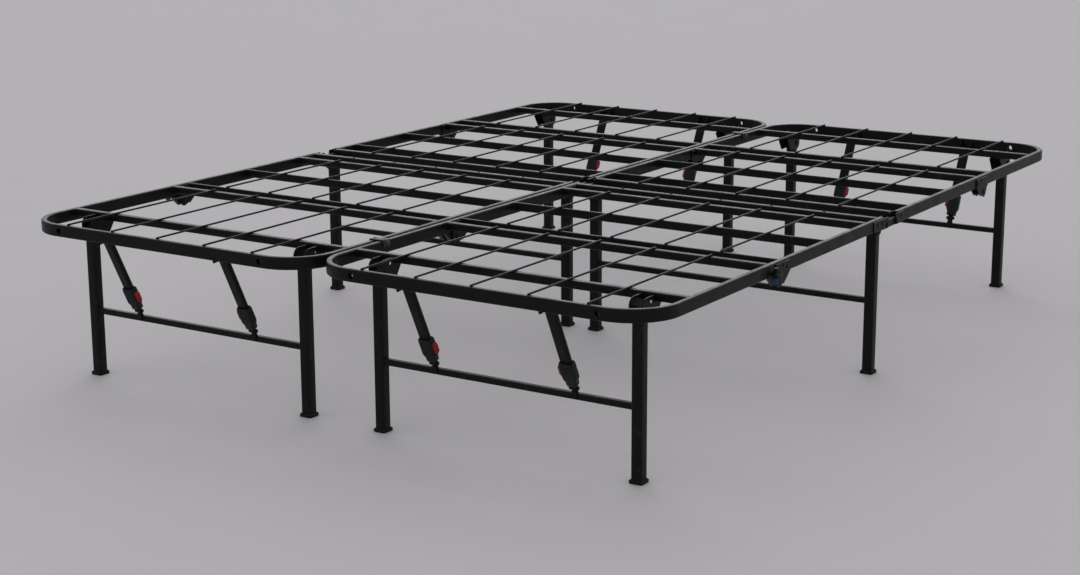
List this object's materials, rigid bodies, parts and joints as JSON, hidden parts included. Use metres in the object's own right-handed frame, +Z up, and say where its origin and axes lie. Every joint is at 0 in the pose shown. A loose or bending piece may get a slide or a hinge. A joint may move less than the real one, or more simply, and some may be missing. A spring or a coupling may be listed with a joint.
{
  "type": "folding metal bed frame",
  "caption": "Folding platform bed frame: steel tube deck with wire slats in hinged sections, on folding leg frames with locking struts.",
  "frame": {"origin": "on the floor, under the centre of the bed's outline", "axes": "+Z up, +Y from the foot end to the head end, +X across the bed to the right as seen from the foot end"},
  "size_m": [1.5536, 2.019, 0.354],
  "materials": {
    "black_powder_coat": "satin",
    "cap_plastic": "matte",
    "buckle_plastic": "matte",
    "red_plastic": "satin",
    "blue_pin": "satin",
    "grey_clip": "satin"
  },
  "bodies": {
    "foot_middle": {"left_foot_middle_section": "black_powder_coat", "right_foot_middle_section": "black_powder_coat"},
    "middle_links": {"left_link_1": "black_powder_coat", "left_link_2": "black_powder_coat", "right_link_1": "black_powder_coat", "right_link_2": "black_powder_coat"},
    "head_middle": {"left_head_middle_section": "black_powder_coat", "right_head_middle_section": "black_powder_coat"},
    "foot_end": {"left_foot_section": "black_powder_coat", "right_foot_section": "black_powder_coat", "foot_connector": "grey_clip"},
    "head_end": {"left_head_section": "black_powder_coat", "right_head_section": "black_powder_coat", "head_connector": "grey_clip"},
    "left_foot_legs": {"left_foot_leg_frame": "black_powder_coat", "left_foot_foot_cap_1": "cap_plastic", "left_foot_foot_cap_2": "cap_plastic"},
    "left_foot_strut_1_body": {"left_foot_strut_1": "black_powder_coat", "left_foot_buckle_1": "buckle_plastic"},
    "left_foot_button_1_body": {"left_foot_button_1": "red_plastic"},
    "left_foot_strut_2_body": {"left_foot_strut_2": "black_powder_coat", "left_foot_buckle_2": "buckle_plastic"},
    "left_foot_button_2_body": {"left_foot_button_2": "red_plastic"},
    "left_head_legs": {"left_head_leg_frame": "black_powder_coat", "left_head_foot_cap_1": "cap_plastic", "left_head_foot_cap_2": "cap_plastic"},
    "left_head_strut_1_body": {"left_head_strut_1": "black_powder_coat", "left_head_buckle_1": "buckle_plastic"},
    "left_head_button_1_body": {"left_head_button_1": "red_plastic"},
    "left_head_strut_2_body": {"left_head_strut_2": "black_powder_coat", "left_head_buckle_2": "buckle_plastic"},
    "left_head_button_2_body": {"left_head_button_2": "red_plastic"},
    "left_lock_pin_body": {"left_lock_pin": "blue_pin"},
    "left_middle_legs": {"left_middle_leg_frame": "black_powder_coat", "left_middle_foot_cap_1": "cap_plastic", "left_middle_foot_cap_2": "cap_plastic"},
    "right_foot_legs": {"right_foot_leg_frame": "black_powder_coat", "right_foot_foot_cap_1": "cap_plastic", "right_foot_foot_cap_2": "cap_plastic"},
    "right_foot_strut_1_body": {"right_foot_strut_1": "black_powder_coat", "right_foot_buckle_1": "buckle_plastic"},
    "right_foot_button_1_body": {"right_foot_button_1": "red_plastic"},
    "right_foot_strut_2_body": {"right_foot_strut_2": "black_powder_coat", "right_foot_buckle_2": "buckle_plastic"},
    "right_foot_button_2_body": {"right_foot_button_2": "red_plastic"},
    "right_head_legs": {"right_head_leg_frame": "black_powder_coat", "right_head_foot_cap_1": "cap_plastic", "right_head_foot_cap_2": "cap_plastic"},
    "right_head_strut_1_body": {"right_head_strut_1": "black_powder_coat", "right_head_buckle_1": "buckle_plastic"},
    "right_head_button_1_body": {"right_head_button_1": "red_plastic"},
    "right_head_strut_2_body": {"right_head_strut_2": "black_powder_coat", "right_head_buckle_2": "buckle_plastic"},
    "right_head_button_2_body": {"right_head_button_2": "red_plastic"},
    "right_lock_pin_body": {"right_lock_pin": "blue_pin"},
    "right_middle_legs": {"right_middle_leg_frame": "black_powder_coat", "right_middle_foot_cap_1": "cap_plastic", "right_middle_foot_cap_2": "cap_plastic"}
  },
  "joints": [
    {"name": "foot_fold", "type": "hinge", "parent": "foot_middle", "child": "foot_end", "pos_m": [0, -0.5295, 0.312], "axis": [1, 0, 0], "range_deg": [0, 175]},
    {"name": "link_fold", "type": "hinge", "parent": "foot_middle", "child": "middle_links", "pos_m": [0, -0.0255, 0.332], "axis": [1, 0, 0], "range_deg": [0, 88]},
    {"name": "middle_fold", "type": "hinge", "parent": "middle_links", "child": "head_middle", "pos_m": [0, 0.0265, 0.332], "axis": [1, 0, 0], "range_deg": [0, 88]},
    {"name": "head_fold", "type": "hinge", "parent": "head_middle", "child": "head_end", "pos_m": [0, 0.5295, 0.312], "axis": [-1, 0, 0], "range_deg": [0, 175]},
    {"name": "left_foot_legs_fold", "type": "hinge", "parent": "foot_end", "child": "left_foot_legs", "pos_m": [-0.3825, -0.8945, 0.317], "axis": [1, 0, 0], "range_deg": [0, 90]},
    {"name": "left_foot_strut_1_fold", "type": "hinge", "parent": "foot_end", "child": "left_foot_strut_1_body", "pos_m": [-0.5395, -0.9825, 0.325], "axis": [1, 0, 0], "range_deg": [0, 62.2]},
    {"name": "left_foot_button_1_press", "type": "slide", "parent": "left_foot_strut_1_body", "child": "left_foot_button_1_body", "axis": [-1, 0, 0], "range_m": [0, 0.0035], "stiffness_N_per_m": 500, "springref_m": -0.002},
    {"name": "left_foot_strut_2_fold", "type": "hinge", "parent": "foot_end", "child": "left_foot_strut_2_body", "pos_m": [-0.2255, -0.9825, 0.325], "axis": [1, 0, 0], "range_deg": [0, 62.2]},
    {"name": "left_foot_button_2_press", "type": "slide", "parent": "left_foot_strut_2_body", "child": "left_foot_button_2_body", "axis": [1, 0, 0], "range_m": [0, 0.0035], "stiffness_N_per_m": 500, "springref_m": -0.002},
    {"name": "left_head_legs_fold", "type": "hinge", "parent": "head_end", "child": "left_head_legs", "pos_m": [-0.3825, 0.8945, 0.317], "axis": [-1, 0, 0], "range_deg": [0, 90]},
    {"name": "left_head_strut_1_fold", "type": "hinge", "parent": "head_end", "child": "left_head_strut_1_body", "pos_m": [-0.5395, 0.9825, 0.325], "axis": [-1, 0, 0], "range_deg": [0, 62.2]},
    {"name": "left_head_button_1_press", "type": "slide", "parent": "left_head_strut_1_body", "child": "left_head_button_1_body", "axis": [-1, 0, 0], "range_m": [0, 0.0035], "stiffness_N_per_m": 500, "springref_m": -0.002},
    {"name": "left_head_strut_2_fold", "type": "hinge", "parent": "head_end", "child": "left_head_strut_2_body", "pos_m": [-0.2255, 0.9825, 0.325], "axis": [-1, 0, 0], "range_deg": [0, 62.2]},
    {"name": "left_head_button_2_press", "type": "slide", "parent": "left_head_strut_2_body", "child": "left_head_button_2_body", "axis": [1, 0, 0], "range_m": [0, 0.0035], "stiffness_N_per_m": 500, "springref_m": -0.002},
    {"name": "left_lock_pin_pull", "type": "slide", "parent": "foot_middle", "child": "left_lock_pin_body", "axis": [0, 0, -1], "range_m": [0, 0.008], "stiffness_N_per_m": 500, "springref_m": -0.002},
    {"name": "left_middle_legs_fold", "type": "hinge", "parent": "foot_middle", "child": "left_middle_legs", "pos_m": [-0.3825, -0.0095, 0.314], "axis": [-1, 0, 0], "range_deg": [0, 90]},
    {"name": "right_foot_legs_fold", "type": "hinge", "parent": "foot_end", "child": "right_foot_legs", "pos_m": [0.3825, -0.8945, 0.317], "axis": [1, 0, 0], "range_deg": [0, 90]},
    {"name": "right_foot_strut_1_fold", "type": "hinge", "parent": "foot_end", "child": "right_foot_strut_1_body", "pos_m": [0.2255, -0.9825, 0.325], "axis": [1, 0, 0], "range_deg": [0, 62.2]},
    {"name": "right_foot_button_1_press", "type": "slide", "parent": "right_foot_strut_1_body", "child": "right_foot_button_1_body", "axis": [-1, 0, 0], "range_m": [0, 0.0035], "stiffness_N_per_m": 500, "springref_m": -0.002},
    {"name": "right_foot_strut_2_fold", "type": "hinge", "parent": "foot_end", "child": "right_foot_strut_2_body", "pos_m": [0.5395, -0.9825, 0.325], "axis": [1, 0, 0], "range_deg": [0, 62.2]},
    {"name": "right_foot_button_2_press", "type": "slide", "parent": "right_foot_strut_2_body", "child": "right_foot_button_2_body", "axis": [1, 0, 0], "range_m": [0, 0.0035], "stiffness_N_per_m": 500, "springref_m": -0.002},
    {"name": "right_head_legs_fold", "type": "hinge", "parent": "head_end", "child": "right_head_legs", "pos_m": [0.3825, 0.8945, 0.317], "axis": [-1, 0, 0], "range_deg": [0, 90]},
    {"name": "right_head_strut_1_fold", "type": "hinge", "parent": "head_end", "child": "right_head_strut_1_body", "pos_m": [0.2255, 0.9825, 0.325], "axis": [-1, 0, 0], "range_deg": [0, 62.2]},
    {"name": "right_head_button_1_press", "type": "slide", "parent": "right_head_strut_1_body", "child": "right_head_button_1_body", "axis": [-1, 0, 0], "range_m": [0, 0.0035], "stiffness_N_per_m": 500, "springref_m": -0.002},
    {"name": "right_head_strut_2_fold", "type": "hinge", "parent": "head_end", "child": "right_head_strut_2_body", "pos_m": [0.5395, 0.9825, 0.325], "axis": [-1, 0, 0], "range_deg": [0, 62.2]},
    {"name": "right_head_button_2_press", "type": "slide", "parent": "right_head_strut_2_body", "child": "right_head_button_2_body", "axis": [1, 0, 0], "range_m": [0, 0.0035], "stiffness_N_per_m": 500, "springref_m": -0.002},
    {"name": "right_lock_pin_pull", "type": "slide", "parent": "foot_middle", "child": "right_lock_pin_body", "axis": [0, 0, -1], "range_m": [0, 0.008], "stiffness_N_per_m": 500, "springref_m": -0.002},
    {"name": "right_middle_legs_fold", "type": "hinge", "parent": "foot_middle", "child": "right_middle_legs", "pos_m": [0.3825, -0.0095, 0.314], "axis": [-1, 0, 0], "range_deg": [0, 90]}
  ],
  "couplings": [
    {"joint": "middle_fold", "follows": "link_fold", "ratio": 1},
    {"joint": "left_foot_legs_fold", "follows": "foot_fold", "ratio": 0.514},
    {"joint": "left_foot_strut_1_fold", "follows": "foot_fold", "ratio": 0.354},
    {"joint": "left_foot_strut_2_fold", "follows": "foot_fold", "ratio": 0.354},
    {"joint": "left_head_legs_fold", "follows": "head_fold", "ratio": 0.514},
    {"joint": "left_head_strut_1_fold", "follows": "head_fold", "ratio": 0.354},
    {"joint": "left_head_strut_2_fold", "follows": "head_fold", "ratio": 0.354},
    {"joint": "right_foot_legs_fold", "follows": "foot_fold", "ratio": 0.514},
    {"joint": "right_foot_strut_1_fold", "follows": "foot_fold", "ratio": 0.354},
    {"joint": "right_foot_strut_2_fold", "follows": "foot_fold", "ratio": 0.354},
    {"joint": "right_head_legs_fold", "follows": "head_fold", "ratio": 0.514},
    {"joint": "right_head_strut_1_fold", "follows": "head_fold", "ratio": 0.354},
    {"joint": "right_head_strut_2_fold", "follows": "head_fold", "ratio": 0.354}
  ]
}
